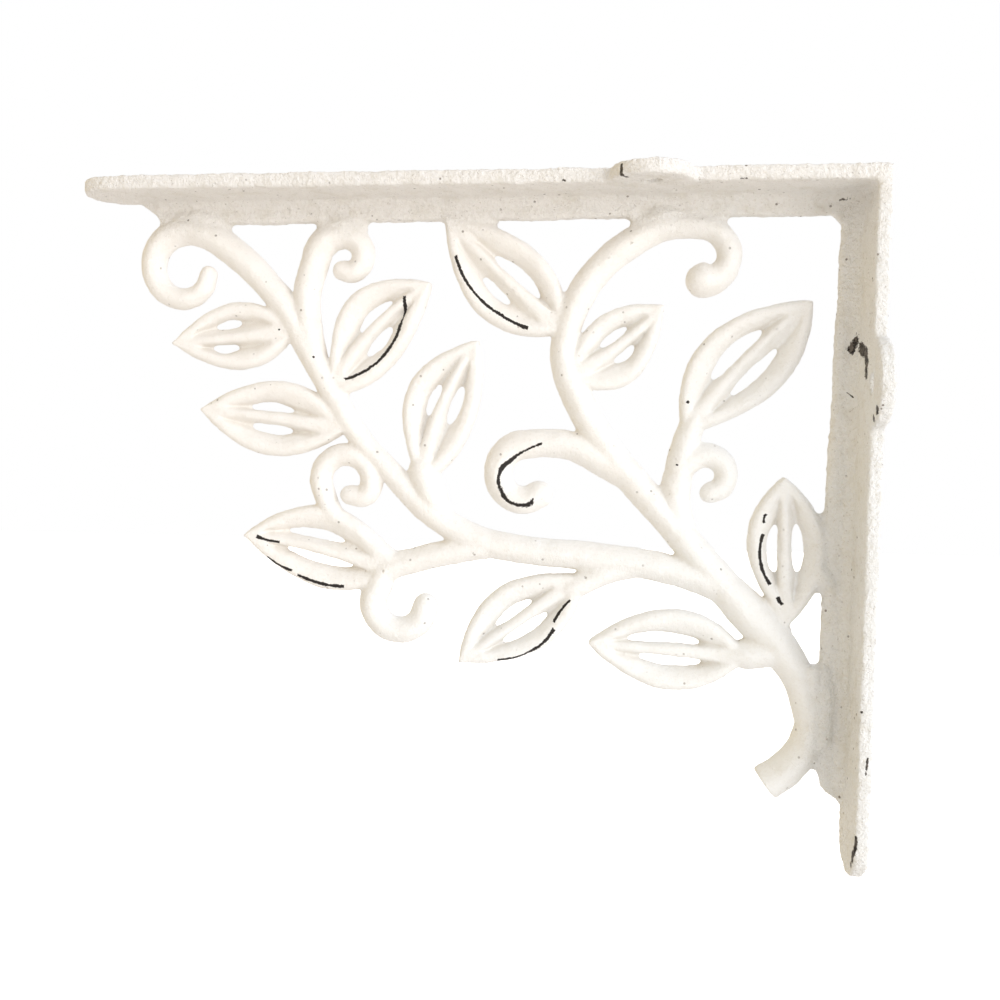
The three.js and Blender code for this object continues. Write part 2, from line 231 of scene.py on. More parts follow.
# A leaf has its base, its tip and the bow of its midrib. Each side has its half width, its fullness towards
# the tip, the start and end of its slot as shares of the length, the slot's place as a share of the half
# width, and the slot's width.
LEAVES = {
    "leaf_by_left_curl": ((-177, 58.5), (-216.5, 54.6), 0,
                          (10.2, 0.85, 0.46, 0.7, 0.31, 2.5), (11.2, 0.85, 0.42, 0.65, 0.41, 2.2)),
    "leaf_left_of_stem": ((-160, 27.6), (-207.3, 33.8), -0.7,
                          (12.2, 1, 0.36, 0.65, 0.31, 2.6), (12, 0.85, 0.36, 0.68, 0.25, 2.4)),
    "leaf_right_of_stem": ((-165, 39.5), (-132.8, 73.6), 3.2,
                           (12.8, 1.2, 0.42, 0.74, 0.26, 3), (11.8, 0.85, 0.35, 0.62, 0.3, 3.2)),
    "leaf_beside_left_stem": ((-135.6, 10.5), (-117.6, 56), 3.2,
                              (12.2, 1.15, 0.42, 0.66, 0.28, 2.6), (11.5, 0.95, 0.42, 0.7, 0.34, 3)),
    "leaf_under_shelf": ((-91.4, 59), (-128.2, 93.5), 1,
                         (13.4, 0.85, 0.35, 0.6, 0.35, 2.4), (12.8, 0.85, 0.24, 0.63, 0.26, 3.4)),
    "leaf_right_of_right_stem": ((-90, 45), (-61.2, 66.6), -1.8,
                                 (10.8, 1, 0.36, 0.65, 0.31, 2.2), (11.2, 0.75, 0.38, 0.62, 0.27, 2.4)),
    "largest_leaf": ((-54, 27.5), (-17.4, 68), 2.4,
                     (13.2, 0.85, 0.32, 0.71, 0.28, 4), (13.4, 1.15, 0.33, 0.69, 0.36, 3)),
    "upright_leaf": ((-22.6, -31), (-24.1, 15.4), 0,
                     (11, 1.25, 0.36, 0.7, 0.22, 2.8), (13, 1.05, 0.36, 0.69, 0.33, 3.2)),
    "lower_middle_leaf": ((-84.5, -16.5), (-122.8, -44.9), 0.2,
                          (11.4, 0.85, 0.33, 0.69, 0.31, 2.8), (12, 1.05, 0.36, 0.67, 0.25, 2.4)),
    "leaf_on_left_branch": ((-145.5, -16.5), (-193.2, -6.2), -1.5,
                            (12.4, 0.8, 0.24, 0.72, 0.26, 2.6), (13.7, 0.92, 0.33, 0.73, 0.31, 2.6)),
    "leaf_beside_trunk": ((-34, -40), (-82.3, -37.3), 0,
                          (12.6, 0.88, 0.26, 0.67, 0.28, 2.9), (12.6, 0.85, 0.28, 0.76, 0.23, 2.8)),
}


def spot(x, z, height):
    """A place on the vine in metres, from its drawn x and z and its height over the flat back."""
    return Vector((x, BACK - height, z + TOP - DRAWN_TOP)) * MM


def use(piece):
    """Selects one piece alone, for the operators that follow."""
    bpy.ops.object.select_all(action="DESELECT")
    piece.select_set(True)
    bpy.context.view_layer.objects.active = piece


def settle(piece, name):
    """Names a new piece and puts its place, turn and scale into its mesh."""
    piece.name = name
    use(piece)
    bpy.ops.object.transform_apply(location=True, rotation=True, scale=True)
    return piece


def near(value, wanted):
    return abs(value - wanted) < SAME


def choose(piece, kind, wanted):
    """In edit mode, selects the vertices or edges whose middle, in millimetres, is wanted."""
    bpy.ops.mesh.select_mode(type=kind)
    bpy.ops.mesh.select_all(action="DESELECT")
    shape = bmesh.from_edit_mesh(piece.data)
    for part in {"VERT": shape.verts, "EDGE": shape.edges}[kind]:
        corners = [part.co] if kind == "VERT" else [vertex.co for vertex in part.verts]
        middle = sum(corners, Vector()) / len(corners) / MM
        part.select_set(wanted(middle, corners))
    shape.select_flush_mode()
    bmesh.update_edit_mesh(piece.data)


def finish_with(piece, kind, **settings):
    use(piece)
    modifier = piece.modifiers.new(kind.title(), kind)
    for name, value in settings.items():
        setattr(modifier, name, value)
    bpy.ops.object.modifier_apply(modifier=modifier.name)


def combine(piece, other, operation):
    finish_with(piece, "BOOLEAN", operation=operation, object=other, solver="EXACT")
    bpy.data.objects.remove(other)


def block(name, low, high):
    low, high = Vector(low) * MM, Vector(high) * MM
    bpy.ops.mesh.primitive_cube_add(size=1, location=(low + high) / 2, scale=high - low)
    return settle(bpy.context.object, name)


def disc(name, centre, radius, thickness, turn):
    bpy.ops.mesh.primitive_cylinder_add(
        vertices=DISC_SIDES, radius=radius * MM, depth=thickness * MM, location=Vector(centre) * MM,
        rotation=turn,
    )
    return settle(bpy.context.object, name)


def soften_edges(piece):
    """Bevels the sharp edges."""
    finish_with(
        piece, "BEVEL", width=EDGE_SOFTNESS * MM, segments=2, limit_method="ANGLE",
        angle_limit=math.radians(SHARP_EDGE),
    )


def flange(name, ear, length, upright):
    """A flat bar with a round tongue at its far end and a pierced ear on its front edge."""
    if upright:
        low, high = (-FLANGE, FRONT, TOP - length), (0, BACK, TOP)
    else:
        low, high = (-length, FRONT, TOP - FLANGE), (0, BACK, TOP)
    along, across = (2, 0) if upright else (0, 2)
    bar = block(name, low, high)

    def at_tongue(middle, corners):
        return near(middle[along], low[along]) and abs(corners[0][across] - corners[1][across]) > MM

    bpy.ops.object.mode_set(mode="EDIT")
    choose(bar, "EDGE", at_tongue)
    bpy.ops.mesh.bevel(offset=TONGUE_ROUND * MM, segments=TONGUE_STEPS, affect="EDGES")
    bpy.ops.object.mode_set(mode="OBJECT")
    soften_edges(bar)

    distance, radius = ear
    turn = (0, math.pi / 2, 0) if upright else (0, 0, 0)
    ear_y = FRONT + EAR_STRAIGHT
    hole_y = FRONT + HOLE_BEHIND_EDGE
    if upright:
        ear_place, hole_place = (-FLANGE / 2, ear_y, TOP - distance), (-FLANGE / 2, hole_y, TOP - distance)
    else:
        ear_place, hole_place = (-distance, ear_y, TOP - FLANGE / 2), (-distance, hole_y, TOP - FLANGE / 2)
    tab = disc(name + "_ear", ear_place, radius, FLANGE, turn)
    soften_edges(tab)
    combine(bar, tab, "UNION")
    combine(bar, disc(name + "_hole", hole_place, HOLE_DIAMETER / 2, 3 * FLANGE, turn), "DIFFERENCE")
    return bar


def cut_across(piece, place, direction):
    """Adds a ring of edges where a plane crosses a piece that is in edit mode."""
    bpy.ops.mesh.select_all(action="SELECT")
    bpy.ops.mesh.bisect(plane_co=Vector(place) * MM, plane_no=direction)


def move(piece, wanted, x, z):
    """In edit mode, moves the vertices whose place is wanted."""
    choose(piece, "VERT", lambda middle, corners: wanted(middle))
    bpy.ops.transform.translate(value=(x * MM, 0, z * MM))


def round_free_edge(web, axis, radius):
    """Rounds the front edge of a web where it faces the openwork. The edge runs along one axis."""
    def faces_openwork(middle, corners):
        in_front = all(corner.y / MM < BACK - WEB_THICKNESS + SAME for corner in corners)
        beside = middle.x < -FLANGE - CLEAR_OF_FLANGE
        below = middle.z < TOP - FLANGE - CLEAR_OF_FLANGE
        long = abs(corners[0][axis] - corners[1][axis]) > SHORTEST_LONG_EDGE * MM
        return in_front and beside and below and long

    choose(web, "EDGE", faces_openwork)
    bpy.ops.mesh.bevel(offset=radius * MM, segments=WEB_ROUND_STEPS, affect="EDGES")


def shelf_web():
    """The strip along the back of the shelf rail, deeper away from the wall. Its far end slopes up."""
    end = -SHELF_LENGTH + SHELF_WEB_GAP
    foot = TOP - SHELF_WEB_AT_END
    web = block("shelf_web", (end, BACK - WEB_THICKNESS, foot), (-FLANGE / 2, BACK, TOP - FLANGE / 2))
    bpy.ops.object.mode_set(mode="EDIT")
    shoulder = end + SHELF_SHOULDER
    cut_across(web, (end + SHELF_SLOPE, 0, 0), (1, 0, 0))
    cut_across(web, (shoulder, 0, 0), (1, 0, 0))
    move(web, lambda at: at.x > -FLANGE and near(at.z, foot), 0, SHELF_WEB_AT_END - SHELF_WEB_AT_CORNER)
    move(web, lambda at: near(at.x, shoulder) and near(at.z, foot), 0, SHELF_SHOULDER_RISE)
    move(web, lambda at: near(at.x, end) and near(at.z, foot), 0, SHELF_END_RISE)
    move(web, lambda at: near(at.x, end) and at.z > TOP - FLANGE, -SLOPE_RUN_OUT, 0)
    round_free_edge(web, 0, SHELF_WEB_ROUND)
    bpy.ops.object.mode_set(mode="OBJECT")
    soften_edges(web)
    return web


def wall_web():
    """The strip along the back of the wall rail, wider downwards. Its lower end steps in to the flange."""
    end = BOTTOM + WALL_WEB_GAP
    side = -WALL_WEB_AT_END
    web = block("wall_web", (side, BACK - WEB_THICKNESS, end), (-FLANGE / 2, BACK, TOP - FLANGE / 2))
    bpy.ops.object.mode_set(mode="EDIT")
    shoulder = end + WALL_SHOULDER
    narrowing = WALL_WEB_AT_END - WALL_WEB_AT_CORNER
    end_step = WALL_WEB_AT_END - FLANGE - WALL_END_WIDTH
    for height in (TOP - WALL_WEB_TAPER, end + WALL_SLOPE, shoulder):
        cut_across(web, (0, 0, height), (0, 0, 1))
    move(web, lambda at: near(at.x, side) and at.z > TOP - FLANGE, narrowing, 0)
    move(web, lambda at: near(at.x, side) and near(at.z, shoulder), WALL_SHOULDER_STEP, 0)
    move(web, lambda at: near(at.x, side) and near(at.z, end), end_step, WALL_END_RISE)
    move(web, lambda at: at.x > -FLANGE and near(at.z, end), 0, -SLOPE_RUN_OUT)
    round_free_edge(web, 2, WALL_WEB_ROUND)
    bpy.ops.object.mode_set(mode="OBJECT")
    soften_edges(web)
    return web


def cove(name, centre, size, length, axis):
    """A square bar set on its corner, which fills the inside corner that it lies in."""
    middle = Vector(centre) * MM
    side = size * math.sqrt(2) * MM
    scale = [length * MM if i == axis else side for i in range(3)]
    turn = [math.pi / 4 if i == axis else 0 for i in range(3)]
    bpy.ops.mesh.primitive_cube_add(size=1, location=middle, scale=scale, rotation=turn)
    return settle(bpy.context.object, name)


def coves():
    face = BACK - WEB_THICKNESS
    shelf_run = SHELF_LENGTH - SHELF_WEB_GAP - COVE_END_GAP
    wall_run = TOP - BOTTOM - WALL_WEB_GAP - COVE_END_GAP
    x, drop = CORNER_COVE_PLACE
    return [
        cove("shelf_cove", (-shelf_run / 2 - COVE_START, face, TOP - FLANGE), COVE, shelf_run, 0),
        cove("wall_cove", (-FLANGE, face, TOP - COVE_START - wall_run / 2), COVE, wall_run, 2),
        cove("corner_cove", (x, BACK - WEB_THICKNESS / 2, TOP - drop), CORNER_COVE, WEB_THICKNESS, 1),
    ]


def stem_profile():
    """A ridge with a rounded crest and sloping sides, one millimetre in half width, for every stem."""
    bpy.ops.curve.primitive_bezier_circle_add(radius=MM)
    profile = bpy.context.object
    profile.name = "stem_profile"
    profile.data.resolution_u = PROFILE_STEPS

    # Of its four points one is at the back, one on the crest and one on each side
    for point in profile.data.splines[0].bezier_points:
        point.handle_left_type = "FREE"
        point.handle_right_type = "FREE"
        if point.co.y < -0.5 * MM:
            for place in (point.co, point.handle_left, point.handle_right):
                place.y = -STEM_DEPTH * MM
        elif point.co.y > 0.5 * MM:
            for handle in (point.handle_left, point.handle_right):
                handle.x *= CREST_ROUND
        else:
            lower, upper = sorted((point.handle_left, point.handle_right), key=lambda handle: handle.y)
            lower.y = -STEM_SIDE_DEPTH * MM
            upper.x *= SIDE_LEAN
            upper.y = SIDE_RISE * MM
    return profile


def stem(name, knots, profile):
    """A half round stem along a smooth line through its knots, cut flat at the back."""
    knots = list(knots)
    if name not in SAWN:
        (x0, z0, _), (x1, z1, width) = knots[-2:]
        ahead = Vector((x1 - x0, z1 - z0)).normalized() * width / 2
        for k in ROUNDED_END:
            knots.append((x1 + ahead.x * k, z1 + ahead.y * k, width * math.sqrt(1 - k * k)))
    line = bpy.data.curves.new(name, "CURVE")
    line.dimensions = "2D"
    line.fill_mode = "NONE"
    line.resolution_u = STEM_STEPS
    line.bevel_mode = "OBJECT"
    line.bevel_object = profile
    line.use_fill_caps = True
    spline = line.splines.new("BEZIER")
    spline.bezier_points.add(len(knots) - 1)
    for point, (x, z, width) in zip(spline.bezier_points, knots):
        point.co = Vector((x, z + TOP - DRAWN_TOP, 0)) * MM
        point.radius = width / 2
        point.handle_left_type = "AUTO"
        point.handle_right_type = "AUTO"
    piece = bpy.data.objects.new(name, line)
    bpy.context.collection.objects.link(piece)
    use(piece)
    bpy.ops.object.convert(target="MESH")
    piece = bpy.context.object
    piece.location = (0, (BACK - STEM_AXIS) * MM, 0)
    piece.rotation_euler = (math.pi / 2, 0, 0)
    settle(piece, name)
    bpy.ops.object.mode_set(mode="EDIT")
    bpy.ops.mesh.select_all(action="SELECT")
    bpy.ops.mesh.remove_doubles(threshold=DOUBLED_POINTS * MM)
    bpy.ops.mesh.normals_make_consistent(inside=False)
    bpy.ops.mesh.bisect(
        plane_co=(0, BACK * MM, 0), plane_no=(0, 1, 0), use_fill=True, clear_outer=True, clear_inner=False
    )
    bpy.ops.object.mode_set(mode="OBJECT")
    return piece


def half_width(share, side):
    """Width of one side of a leaf at a share of its length."""
    width, fullness = side[:2]
    return width * max(math.sin(math.pi * share**fullness), 0) ** LEAF_FULLNESS


def ramp(x, stops):
    """A value read off a line drawn through stops of place and value."""
    for (x0, v0), (x1, v1) in zip(stops, stops[1:]):
        if x <= x1:
            return v0 + (v1 - v0) * max(x - x0, 0) / (x1 - x0)
    return stops[-1][1]


def leaf_section(share, side):
    """Distance from the midrib and height over the back of each line of points across one side of a leaf."""
    _, _, slot_start, slot_end, slot_share, slot_width = side
    half = half_width(share, side)
    before, after = (BEFORE_SLOT + slot_start) / 2, (slot_end + AFTER_SLOT) / 2
    depth = ramp(share, [
        (VALLEY_START, VALLEY_DEPTH_AT_ENDS), (before, VALLEY_DEPTH_AT_BASE), (slot_start, VALLEY_DEPTH),
        (slot_end, VALLEY_DEPTH), (after, VALLEY_DEPTH_AT_TIP), (VALLEY_END, VALLEY_DEPTH_AT_ENDS),
    ])
    within = min(max((share - slot_start) / (slot_end - slot_start), 0), 1)
    opening = CLOSED_SLOT + slot_width * math.sin(math.pi * within) ** 0.6
    rib = min(MIDRIB_WIDTH / 2 * (1 - MIDRIB_TAPER * share), 0.3 * half)
    rim = max(half - RIM_WIDTH, rib + 0.5)
    foot = min(max(slot_share * half, rib + 0.2 + opening / 2), rim - 0.2)
    inner, outer = foot - opening / 2, foot + opening / 2
    floor = LEAF_HEIGHT - depth
    midrib = [
        (0, 0.97 * LEAF_HEIGHT),
        (0.62 * rib, 0.93 * LEAF_HEIGHT),
        (min(rib, inner - 0.1), LEAF_HEIGHT - 0.36 * depth),
    ]
    slot = [(inner, floor), (outer, floor)]
    slope = [(outer + 0.35 * (rim - outer), floor + 0.5 * depth), (rim, floor + 0.9 * depth)]
    crest_and_side = [
        (max(half - RIM_WIDTH / 2, rim), LEAF_HEIGHT),
        (max(half - RIM_EDGE, rim), 0.82 * LEAF_HEIGHT),
        (half, 0.5 * LEAF_HEIGHT),
    ]
    lines = midrib + slot + slope + crest_and_side
    return [(max(min(distance, half), 0), height) for distance, height in lines]


def leaf(name, base, tip, bow, left, right):
    """A rimmed leaf with a midrib and a slot in each of its valleys, from a grid drawn to its sections."""
    bpy.ops.mesh.primitive_grid_add(x_subdivisions=LEAF_ROWS, y_subdivisions=2 * LEAF_LINES, size=1)
    piece = bpy.context.object
    piece.name = name
    start = Vector(base)
    along = Vector(tip) - start
    across = Vector((-along.y, along.x)).normalized()
    slots = []
    for vertex in piece.data.vertices:
        row = round((vertex.co.x + 0.5) * LEAF_ROWS)
        line = round((vertex.co.y + 0.5) * 2 * LEAF_LINES) - LEAF_LINES
        share = row / LEAF_ROWS
        side = left if line >= 0 else right
        distance, height = leaf_section(share, side)[abs(line)]
        beside = bow * 4 * share * (1 - share) + math.copysign(distance, line)
        place = start + along * share + across * beside
        vertex.co = spot(place.x, place.y, height)
        if abs(line) in SLOT_LINES and side[2] < share < side[3]:
            slots.append(vertex.index)
    pierced = set(slots)
    bpy.ops.object.mode_set(mode="EDIT")
    bpy.ops.mesh.select_mode(type="FACE")
    bpy.ops.mesh.select_all(action="DESELECT")
    shape = bmesh.from_edit_mesh(piece.data)
    for face in shape.faces:
        if all(vertex.index in pierced for vertex in face.verts):
            face.select_set(True)
    bmesh.update_edit_mesh(piece.data)
    bpy.ops.mesh.delete(type="FACE")
    bpy.ops.mesh.select_all(action="SELECT")
    bpy.ops.mesh.extrude_region_move(TRANSFORM_OT_translate={"value": (0, LEAF_HEIGHT * MM, 0)})
    bpy.ops.transform.resize(value=(1, 0, 1), center_override=(0, BACK * MM, 0))
    bpy.ops.mesh.select_all(action="SELECT")
    bpy.ops.mesh.normals_make_consistent(inside=False)
    bpy.ops.object.mode_set(mode="OBJECT")
    return piece


def mark_vertices(casting, name, weight):
    """Gives every vertex a weight between nothing and one, from its place in millimetres."""
    marked = casting.vertex_groups.new(name=name)
    for vertex in casting.data.vertices:
        marked.add([vertex.index], weight(vertex.co / MM), "REPLACE")


def near_rails(place):
    """One by the rails, fading to nothing over the vine."""
    above = place.z - TOP + NEAR_RAILS
    beside = place.x + NEAR_RAILS
    return min(max(above, beside, 0) / NEAR_RAILS_FADE, 1)


def on_the_rails(place):
    return float(place.z > TOP - SHELF_WEB_AT_END or place.x > -WALL_WEB_AT_END)


def melt(casting):
    """Turns overlapping pieces into one skin of small squares."""
    finish_with(casting, "REMESH", mode="VOXEL", voxel_size=GRAIN * MM)


def fill_corners(casting):
    """Swells the casting near the rails and shrinks it again, which fills its inside corners there."""
    mark_vertices(casting, "swollen", near_rails)
    finish_with(casting, "DISPLACE", strength=CORNER_FILL * MM, mid_level=0, vertex_group="swollen")
    melt(casting)
    casting.vertex_groups.clear()
    mark_vertices(casting, "shrunk", near_rails)
    finish_with(casting, "DISPLACE", strength=-CORNER_FILL * MM, mid_level=0, vertex_group="shrunk")
    casting.vertex_groups.clear()


def roughen(casting, name, size, height, group):
    """Moves the skin in and out by a cloudy noise, all over or in one group of vertices."""
    texture = bpy.data.textures.new(name, "CLOUDS")
    texture.noise_scale = size * MM
    texture.noise_depth = 1
    finish_with(
        casting, "DISPLACE", texture=texture, texture_coords="LOCAL", strength=height * MM, mid_level=0.5,
        vertex_group=group,
    )


def cast(pieces):
    """Joins the pieces into one rough sand casting."""
    bpy.ops.object.select_all(action="DESELECT")
    for piece in pieces:
        piece.select_set(True)
    bpy.context.view_layer.objects.active = pieces[0]
    bpy.ops.object.join()
    casting = bpy.context.object
    casting.name = "vine_bracket"
    melt(casting)
    fill_corners(casting)
    finish_with(casting, "SMOOTH", factor=SMOOTHING, iterations=SMOOTHING_PASSES)

    mark_vertices(casting, "rails", on_the_rails)
    for name, size, height, group in ROUGHNESS:
        roughen(casting, name, size, height, group)
    triangles = sum(len(face.vertices) - 2 for face in casting.data.polygons)
    finish_with(casting, "DECIMATE", ratio=min(1, MOST_TRIANGLES / triangles))
    use(casting)
    bpy.ops.object.shade_smooth()
    return casting


def make_casting():
    pieces = [
        flange("shelf_flange", SHELF_EAR, SHELF_LENGTH, False),
        flange("wall_flange", WALL_EAR, TOP - BOTTOM, True),
        shelf_web(),
        wall_web(),
        *coves(),
    ]
    profile = stem_profile()
    pieces += [stem(name, knots, profile) for name, knots in STEMS.items()]
    bpy.data.objects.remove(profile)
    pieces += [leaf(name, *shape) for name, shape in LEAVES.items()]
    return cast(pieces)


casting = make_casting()
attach(casting, "root")
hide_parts("bracket")


# Where the paint is worn through to black iron. On the vine each mark is an arc through three points of the
# front, with its half width. On the rails it is a straight stretch between two points, with its half width.
# Their places count from the origin, not from the height at which the vine is drawn.
MARKS_ON_VINE = [
    ((-159.2, 43.3), (-147.9, 49.8), (-141.8, 61), 0.52),
    ((-142.6, 58.8), (-141, 63.4), (-140.7, 68.5), 0.4),
    ((-124.6, 80.6), (-119.4, 70.6), (-111.4, 63.6), 0.42),
    ((-112.2, 64.2), (-107.6, 61.4), (-103, 59.4), 0.45),
    ((-97.6, 23.8), (-104.2, 20.6), (-109.4, 16.4), 0.45),
    ((-109.2, 16.6), (-110.4, 12), (-108.4, 7.8), 0.55),
    ((-109.6, 9.6), (-106, 5.3), (-101.7, 5), 0.75),
    ((-109.9, -44), (-103.4, -42.6), (-97.7, -39.3), 0.4),
    ((-98.6, -40), (-95.4, -37.4), (-93.3, -34.6), 0.5),
    ((-92.6, -31), (-90.6, -27.6), (-87.9, -24.5), 0.35),
    ((-187.8, -7.2), (-184.6, -8.2), (-181.2, -8.7), 0.4),
    ((-185, -13.6), (-181.2, -16), (-177.6, -17.5), 0.35),
    ((-174.6, -19.2), (-167.6, -21.5), (-160.2, -22.3), 0.5),
    ((-30.4, -4.2), (-30.6, -10.4), (-27.8, -17.2), 0.45),
    ((-29.5, 3.4), (-29.9, 2.4), (-29.9, 1.4), 0.4),
    ((-24.9, -22), (-24.5, -22.7), (-24.1, -23.2), 0.55),
    ((-180.9, 58.5), (-180.8, 58.55), (-180.7, 58.5), 0.25),
    ((-53.5, 37), (-53.4, 37.1), (-53.3, 37), 0.32),
    ((-56.3, 18.1), (-56.2, 18.15), (-56.1, 18.1), 0.28),
    ((-169.3, 50), (-169.2, 50), (-169.1, 49.9), 0.25),
]
MARKS_ON_RAILS = [
    ((-74.2, -19.6, 101.2), (-74, -19.4, 98.8), 0.55),
    ((-74, -19, 98.4), (-72.6, -17, 98.2), 0.5),
    ((-41.2, -12.4, 98.4), (-39.8, -12.4, 98.4), 0.45),
    ((-90.6, -12.4, 99), (-90.2, -12.4, 98.8), 0.4),
    ((-4.3, 6.4, 56.8), (-6, 7.6, 53), 1.3),
    ((-4.2, 4, 53.4), (-4.2, -4, 51), 1.7),
    ((-4.2, -4.6, 50.4), (-4.2, -4.4, 46.2), 1.9),
    ((-6.9, 7.9, 40.3), (-4.4, 6.5, 38.2), 0.16),
    ((-4.2, -20.6, 35.2), (-4.2, -20.2, 34.6), 0.9),
    ((-4.2, -16.6, 33), (-4.2, -17, 32.4), 1),
    ((-4, -12.4, -50.6), (-3.6, -12.4, -50.5), 0.4),
    ((-1.5, -12.5, -63.8), (-1.8, -12.5, -68.4), 0.35),
    ((-4.1, -12.2, -87), (-4, -12, -91.4), 0.6),
    ((-4.2, -11.6, -91.6), (-4.8, -8.6, -96.4), 0.85),
    ((-11.2, 7.8, 96.8), (-7.6, 7.6, 97.2), 0.7),
]

# Where the edge of a mark starts and where it is full, in half widths, and the noises that fray it
MARK_EDGE = (1.15, 0.9)
MARK_RAGGEDNESS = 2.1
FRAYING = [(0.22, 2), (1.6, 4, 0.7)]

# The marks on the vine show only between these two depths, and count as far away elsewhere
VINE_FRONT = 0
BACK_OF_VINE = 11
FAR_FROM_MARKS = 100

# How far from the outer face of each rail its rough finish fades out, and where it is whole
SHELF_RAIL_FINISH = (18, 8)
WALL_RAIL_FINISH = (19, 8)

# The colours of the paint, and of what shows through it and lies on it
COOL_IVORY = (0.872, 0.872, 0.852, 1)
WARM_IVORY = (0.89, 0.858, 0.81, 1)
SPECKLE = (0.62, 0.55, 0.44, 1)
STAIN = (0.66, 0.61, 0.5, 1)
SOOT = (0.36, 0.31, 0.25, 1)
# Tan for the hollows: painted shade, with a little dirt
SHADE_AND_DIRT_TAN = (0.6, 0.52, 0.4, 1)
PIT = (0.16, 0.12, 0.09, 1)
BLACK_IRON = (0.018, 0.014, 0.012, 1)
DUSTY_IRON = (0.2, 0.175, 0.15, 1)

# A noise has its scale per millimetre, its detail and often its roughness. A pair of limits says where
# something starts to show and where it is full. PIT_SHARES and SAND_HEIGHTS have the strength on the vine
# and what the rails add to it.
CLOUDS = (0.035, 2)
CLOUD_SHARE = 0.5
WARMTH_PER_MM = 0.0025
WARMING = (0.2, 0.8)
# The hollows' tan is painted shade with a little dirt: how far the occlusion reaches, where it starts and is
# full, and how strong it is
HOLLOW_REACH = 4
HOLLOWS = (0.85, 0.35)
HOLLOW_SHADE_AND_DIRT_SHARE = 0.3
PIT_SCALE = 0.3
PIT_SIZE = (0.15, 0.08)
PITTED_PATCHES = (0.13, 2)
PITTED = (0.5, 0.6)
PIT_SHARES = (0.55, 0.3)
DUST = (0.7, 4, 0.7)
DUSTY = (0.42, 0.6)
DUST_SHARE = 0.8

# What lies on the paint, in order: its colour, its noise, where it starts and is full, how strong it is on
# the vine and how much stronger on the rails
LAYERS = [
    (SPECKLE, (1.3, 6, 0.7), (0.52, 0.72), 0.2, 0.2),
    (STAIN, (0.16, 4, 0.6), (0.48, 0.7), 0.12, 0.16),
    (SOOT, (1.1, 4, 0.75), (0.6, 0.68), 0.14, 0.4),
]

# The relief of the paint, which is the grain of the sand, finer grit and the pits, and its satin finish
SAND = (0.8, 4, 0.6)
SAND_HEIGHTS = (0.5, 1.4)
GRIT = (3.2, 3, 0.6)
GRIT_HEIGHT = 0.18
PIT_DEPTH = 0.3
RELIEF = 0.7
SPECULAR = 0.3
SATIN = 0.42
DULLER_PATCHES = (0.5, 3)
DULLER_BY = 0.2

# The studio: its walls, with the limits of the warm one, and in metres its window and its floor
WARM_WALL = (0.8, 0.64, 0.34, 1)
COOL_WALL = (0.96, 0.99, 1.07, 1)
WARM_SIDE = (-0.8, 0)
WHITE = (1, 1, 1, 1)
WINDOW_PLACE = (1.22, -1.12, 0.2)
WINDOW_SIZE = 1.3
WINDOW_POWER = 17.5
MIDDLE_OF_BRACKET = (-0.1, 0, 0)
FLOOR_SIZE = 6
FLOOR_HEIGHT = -0.35
FLOOR_PAPER = (0.92, 0.89, 0.86, 1)

# The camera, as it was fitted to the photograph
SENSOR = 36
LENS = 38.82
CLIP_START = 10
CAMERA_PLACE = (-69.2, -323.4, 30.2)
CAMERA_RIGHT = (0.99227, 0.12348, 0.01235)
CAMERA_UP = (-0.02107, 0.06958, 0.99736)
CAMERA_AHEAD = (-0.12229, 0.98991, -0.07163)


def add(tree, kind, feeds, **settings):
    """A shader node with its settings, and what feeds each socket: a value or another node's output."""
    made = tree.nodes.new(kind)
    for name, value in settings.items():
        setattr(made, name, value)
    for socket, feed in feeds.items():
        if isinstance(feed, bpy.types.NodeSocket):
            tree.links.new(feed, made.inputs[socket])
        else:
            made.inputs[socket].default_value = feed
    return made


def math_node(tree, operation, *values, clamp=False):
    feeds = dict(enumerate(values))
    return add(tree, "ShaderNodeMath", feeds, operation=operation, use_clamp=clamp).outputs[0]


def vector_node(tree, operation, **feeds):
    sockets = {"a": 0, "b": 1, "scale": "Scale"}
    made = add(tree, "ShaderNodeVectorMath", {sockets[k]: v for k, v in feeds.items()}, operation=operation)
    return made.outputs["Value" if operation in ("DOT_PRODUCT", "LENGTH") else "Vector"]


def blend(tree, share, first, second):
    return add(tree, "ShaderNodeMix", {0: share, 6: first, 7: second}, data_type="RGBA").outputs[2]


def step_up(tree, value, low, high):
    made = add(
        tree, "ShaderNodeMapRange", {"Value": value, "From Min": low, "From Max": high},
        interpolation_type="SMOOTHSTEP",
    )
    return made.outputs["Result"]


def noise(tree, place, scale, detail=3, roughness=0.55):
    made = add(
        tree, "ShaderNodeTexNoise",
        {"Vector": place, "Scale": scale, "Detail": detail, "Roughness": roughness},
    )
    return made.outputs["Fac"]


def by_place(tree, amount, on_rails, on_vine, more_on_rails):
    """An amount times its strength, which is one value on the vine and more on the rails."""
    strength = math_node(tree, "MULTIPLY_ADD", on_rails, more_on_rails, on_vine)
    return math_node(tree, "MULTIPLY", amount, strength)


def circle_through(first, second, third):
    """Centre and radius of the circle through three points."""
    (ax, az), (bx, bz), (cx, cz) = first, second, third
    doubled = 2 * (ax * (bz - cz) + bx * (cz - az) + cx * (az - bz))
    a, b, c = ax * ax + az * az, bx * bx + bz * bz, cx * cx + cz * cz
    x = (a * (bz - cz) + b * (cz - az) + c * (az - bz)) / doubled
    z = (a * (cx - bx) + b * (ax - cx) + c * (bx - ax)) / doubled
    return Vector((x, 0, z)), math.hypot(ax - x, az - z)


